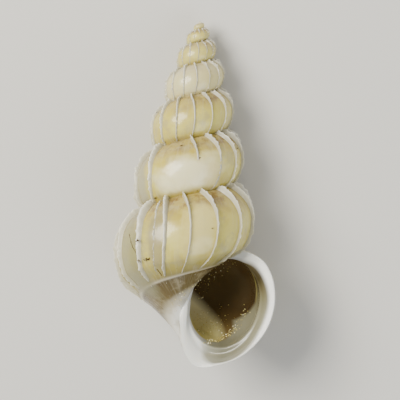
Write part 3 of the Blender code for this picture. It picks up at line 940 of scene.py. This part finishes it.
# Angles between which the drift thins out, and what is left of it there
DRIFT_THINS = ((-106, 0.2), (-94, 1.0), (-52, 1.0), (-30, 0.4), (-8, 0.2))
FLOOR_PLACE = (1.068, -60)
FLOOR_REACH = (0.006, 26)
BASE_PLACE = (0.905, -97)
BASE_REACH = (0.012, 3.0)
SAND_PER_AREA = 70 / MM ** 2
EDGE_SAND, FLOOR_SAND, BASE_SAND = 0.6, 0.3, 0.35


def near_line(line, reach, along, angle):
    """1 on a line of the unwound shell, falling to 0 beside it and past its ends."""
    angles, alongs = zip(*line)
    beside = np.exp(-((along - np.interp(angle, angles, alongs)) / reach) ** 2)
    return beside * (angle > angles[0]) * (angle < angles[-1])


def near_place(place, reach, along, angle):
    """1 at a place of the unwound shell, falling to 0 around it."""
    return np.exp(-((along - place[0]) / reach[0]) ** 2 - ((angle - place[1]) / reach[1]) ** 2)


corners = np.zeros(len(skin.loops), int)
skin.loops.foreach_get("vertex_index", corners)
spots = np.zeros(2 * len(skin.loops))
skin.uv_layers["winding"].data.foreach_get("uv", spots)
skin_place = np.zeros((len(skin.vertices), 2))
skin_place[corners] = spots.reshape(-1, 2)
along, angle = skin_place[:, 0], skin_place[:, 1] * 360 - 180
sand = (near_line(DRIFT_LINE, DRIFT_REACH, along, angle) * np.interp(angle, *zip(*DRIFT_THINS))
        + EDGE_SAND * near_line(EDGE_LINE, EDGE_REACH, along, angle)
        + FLOOR_SAND * near_place(FLOOR_PLACE, FLOOR_REACH, along, angle)
        + BASE_SAND * near_place(BASE_PLACE, BASE_REACH, along, angle))
set_values(skin, "sand", SAND_PER_AREA * sand)
print("points with sand:", int((sand > 0.1).sum()))

# %% The tree that scatters points, and the tree that sets a grain on each
scatter_tree, given = new_tree("scatter", {"Seed": 5})
lies = add(scatter_tree, "GeometryNodeInputNamedAttribute", {"Name": "sand"})
fallen = add(scatter_tree, "GeometryNodeDistributePointsOnFaces", {"Mesh": given["Geometry"],
    "Density": lies, "Seed": given["Seed"]})
as_mesh = add(scatter_tree, "GeometryNodePointsToVertices", {0: fallen})
add(scatter_tree, "NodeGroupOutput", {0: as_mesh})

grain_tree, given = new_tree("set the grains", {
    "Finish": "NodeSocketMaterial", "Smallest": 0.02 * MM, "Largest": 0.075 * MM, "Seed": 2})
ball = add(grain_tree, "GeometryNodeMeshIcoSphere", {"Radius": 1.0, "Subdivisions": 2})
lump = add(grain_tree, "ShaderNodeTexNoise", {"Scale": 0.9}).outputs["Color"]
shift = add(grain_tree, "ShaderNodeVectorMath", (lump, (0.5, 0.5, 0.5)), operation="SUBTRACT")
rough_grain = add(grain_tree, "GeometryNodeSetPosition", {"Geometry": ball, "Offset": shift})
size = add(grain_tree, "FunctionNodeRandomValue", {2: given["Smallest"], 3: given["Largest"],
    "Seed": given["Seed"]}, data_type="FLOAT").outputs[1]
shape = add(grain_tree, "FunctionNodeRandomValue", {0: (0.75, 0.7, 0.5), 1: (1.25, 1.1, 0.9),
    "Seed": given["Seed"]}, data_type="FLOAT_VECTOR")
grain_size = add(grain_tree, "ShaderNodeVectorMath", {0: shape, "Scale": size}, operation="SCALE")
heading = add(grain_tree, "FunctionNodeRandomValue", {0: (0.0, 0.0, 0.0), 1: (2 * math.pi, 2 * math.pi,
    2 * math.pi), "Seed": given["Seed"]}, data_type="FLOAT_VECTOR")
placed = add(grain_tree, "GeometryNodeInstanceOnPoints", {"Points": given["Geometry"],
    "Instance": rough_grain, "Rotation": heading, "Scale": grain_size})
tone = add(grain_tree, "FunctionNodeRandomValue", {2: 0.0, 3: 1.0, "Seed": given["Seed"]},
    data_type="FLOAT").outputs[1]
toned = add(grain_tree, "GeometryNodeStoreNamedAttribute", {"Geometry": placed, "Name": "tone",
    "Value": tone}, domain="INSTANCE")
grains_real = add(grain_tree, "GeometryNodeRealizeInstances", {0: toned})
coated = add(grain_tree, "GeometryNodeSetMaterial", {"Geometry": grains_real,
    "Material": given["Finish"]})
add(grain_tree, "NodeGroupOutput", {0: coated})
print("scatter and grain trees:", len(scatter_tree.nodes), "and", len(grain_tree.nodes), "nodes")

# %% Sand
SAND_TONES = ((0.0, "#6b5422"), (0.2, "#9c8330"), (0.6, "#c4b150"), (0.88, "#e6dc98"),
              (1.0, "#f6efce"))


def toned_material(name, roughness, tones):
    """A grain material with its colour read from each grain's tone."""
    material, tree, principled = new_material(name, roughness)
    tone = add(tree, "ShaderNodeAttribute", attribute_name="tone").outputs["Fac"]
    give(tree, principled.inputs["Base Color"],
         with_stops(add(tree, "ShaderNodeValToRGB", {0: tone}), tones))
    return material


quartz = toned_material("quartz sand", 0.3, SAND_TONES)
sand_points = run_tree(scatter_tree, skin)
print("sand grains:", len(sand_points.vertices))
sand_grains = run_tree(grain_tree, sand_points, {"Finish": quartz})
sand_grains.transform(SHELL_TO_FLOOR.inverted())
sand_piece = finished("sand_grains", sand_grains, quartz)

# %% Dirt
# Clumps of dirt: turns before the mouth, angle, how far off the wall, spread in mm, and grains
DIRT_CLUMPS = ((0.669, 9, 0.064, 0.06, 26), (0.667, -15, 0.062, 0.07, 24), (0.680, -16, 0.03, 0.10, 16),
               (0.686, -17, 0.004, 0.09, 30), (0.847, 12, 0.003, 0.04, 6), (1.952, 36, 0.06, 0.06, 9),
               (1.744, 63, 0.003, 0.06, 9), (2.634, -32, 0.003, 0.08, 14), (1.81, 27, 0.003, 0.05, 8),
               (1.655, -32, 0.003, 0.10, 12), (2.60, 40, 0.05, 0.06, 8))
# Cracks: turns before the mouth and angle, from end to end
CRACKS = (((0.627, 22), (0.642, 4), (0.655, -7)), ((0.700, -37), (0.703, -53)))
CRACK_GRAINS = 45
CRACK_SPREAD = 0.012
SUTURE_GRAINS = 130
SUTURE_SPAN = (0.7, 4.5)
SUTURE_ANGLES, SUTURE_SPREAD = (-42, 84), 3
# A turn of the last whorl is about this many reaches long
TURN_LENGTH = 3.5
DIRT_TONES = ((0.0, "#1e1408"), (0.6, "#3c2a12"), (1.0, "#6b5226"))

rng = np.random.default_rng(7)
dirt = []
for before, at, off, spread, count in DIRT_CLUMPS:
    around_it = rng.normal(0, spread * MM / REACH, (count, 2))
    dirt.append(np.stack([TURNS - before + around_it[:, 0] / TURN_LENGTH,
                          at + np.degrees(around_it[:, 1] / HALF), np.full(count, off)], -1))
for crack in CRACKS:
    ends = np.array(crack)
    step = np.linspace(0, len(ends) - 1, CRACK_GRAINS)
    jitter = rng.normal(0, CRACK_SPREAD * MM / REACH, CRACK_GRAINS)
    dirt.append(np.stack([TURNS - np.interp(step, range(len(ends)), ends[:, 0]) + jitter / TURN_LENGTH,
                          np.interp(step, range(len(ends)), ends[:, 1]),
                          np.zeros(CRACK_GRAINS)], -1))
dirt.append(np.stack([TURNS - rng.uniform(*SUTURE_SPAN, SUTURE_GRAINS),
                      rng.choice(SUTURE_ANGLES, SUTURE_GRAINS)
                      + rng.normal(0, SUTURE_SPREAD, SUTURE_GRAINS),
                      np.zeros(SUTURE_GRAINS)], -1))
dirt = np.concatenate(dirt)
dirt_places = unwound(dirt[:, 0], dirt[:, 1], wall(dirt[:, 0], dirt[:, 1]) + dirt[:, 2])
dirt_mesh = bpy.data.meshes.new("dirt points")
dirt_mesh.from_pydata(dirt_places[:, :3].tolist(), [], [])
set_values(dirt_mesh, "ahead", dirt_places[:, 3])
soil = toned_material("dark soil", 0.9, DIRT_TONES)
dirt_grains = run_tree(grain_tree, run_tree(winding, dirt_mesh), {
    "Finish": soil, "Smallest": 0.02 * MM, "Largest": 0.05 * MM})
dirt_piece = finished("dirt", dirt_grains, soil)

# %% [markdown]
# ## Floor, light and camera
#
# The shell lies on a plain pale floor under soft light from above and the left. The camera looks
# almost straight down, as the one that took the photo did. A long lens keeps the view flat.

# %% Floor
FLOOR_SIZE = 0.5


def floor_mesh(size):
    """A flat square under the shell."""
    mesh = bpy.data.meshes.new("floor")
    corner = size / 2
    mesh.from_pydata([(-corner, -corner, 0), (corner, -corner, 0), (corner, corner, 0),
                      (-corner, corner, 0)], [], [(0, 1, 2, 3)])
    return mesh


floor = bpy.data.objects.new("floor", floor_mesh(FLOOR_SIZE))
bpy.context.scene.collection.objects.link(floor)
card, tree, principled = new_material("matt pale card", 0.9)
principled.inputs["Base Color"].default_value = linear("#d9d7d1")
floor.data.materials.append(card)
print("floor, m:", FLOOR_SIZE)

# %% Camera
IMAGE = 400
PIXEL = 32 / 345 * MM
APEX_PIXEL = (200.6, 22.0)
VIEW = Vector((-0.22203, -0.1624, -0.96142)).normalized()
RIGHT = Vector((0.974218, 0.003532, -0.225582)).normalized()
LENS = 400
SENSOR = 36

up = RIGHT.cross(VIEW)
target = APEX + RIGHT * (IMAGE / 2 - APEX_PIXEL[0]) * PIXEL - up * (IMAGE / 2 - APEX_PIXEL[1]) * PIXEL
distance = LENS / SENSOR * IMAGE * PIXEL
camera = bpy.data.objects.new("camera", bpy.data.cameras.new("camera"))
camera.data.lens, camera.data.sensor_width = LENS, SENSOR
camera.data.clip_start, camera.data.clip_end = 1 * MM, 5.0
turned = Matrix((RIGHT, up, -VIEW)).transposed().to_4x4()
camera.matrix_world = Matrix.Translation(target - VIEW * distance) @ turned
bpy.context.scene.collection.objects.link(camera)
bpy.context.scene.camera = camera
print("camera distance, mm:", round(distance / MM, 1))

# %% Light


def soft_light(name, place, size, power, colour):
    """A large area light that faces the shell."""
    light = bpy.data.lights.new(name, "AREA")
    light.shape, light.size, light.energy, light.color = "SQUARE", size, power, linear(colour)[:3]
    lamp = bpy.data.objects.new(name, light)
    lamp.matrix_world = (Matrix.Translation(place)
                         @ (-Vector(place)).to_track_quat("-Z", "Y").to_matrix().to_4x4())
    bpy.context.scene.collection.objects.link(lamp)


soft_light("key softbox", (-0.12, 0.10, 0.22), 0.16, 1.2, "#fffbf0")
soft_light("fill softbox", (0.20, -0.12, 0.20), 0.20, 0.35, "#f2f6ff")
world = bpy.data.worlds.new("pale studio")
world.use_nodes = True
world.node_tree.nodes["Background"].inputs["Color"].default_value = linear("#e6e8ea")
world.node_tree.nodes["Background"].inputs["Strength"].default_value = 0.55
bpy.context.scene.world = world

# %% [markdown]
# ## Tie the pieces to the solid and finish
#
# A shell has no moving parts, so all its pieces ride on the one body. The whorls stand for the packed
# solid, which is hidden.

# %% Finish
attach(whorls_piece, "root")
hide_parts("shell")
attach(ribs_piece, "root")
for loose in (sand_piece, dirt_piece):
    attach(loose, "root")
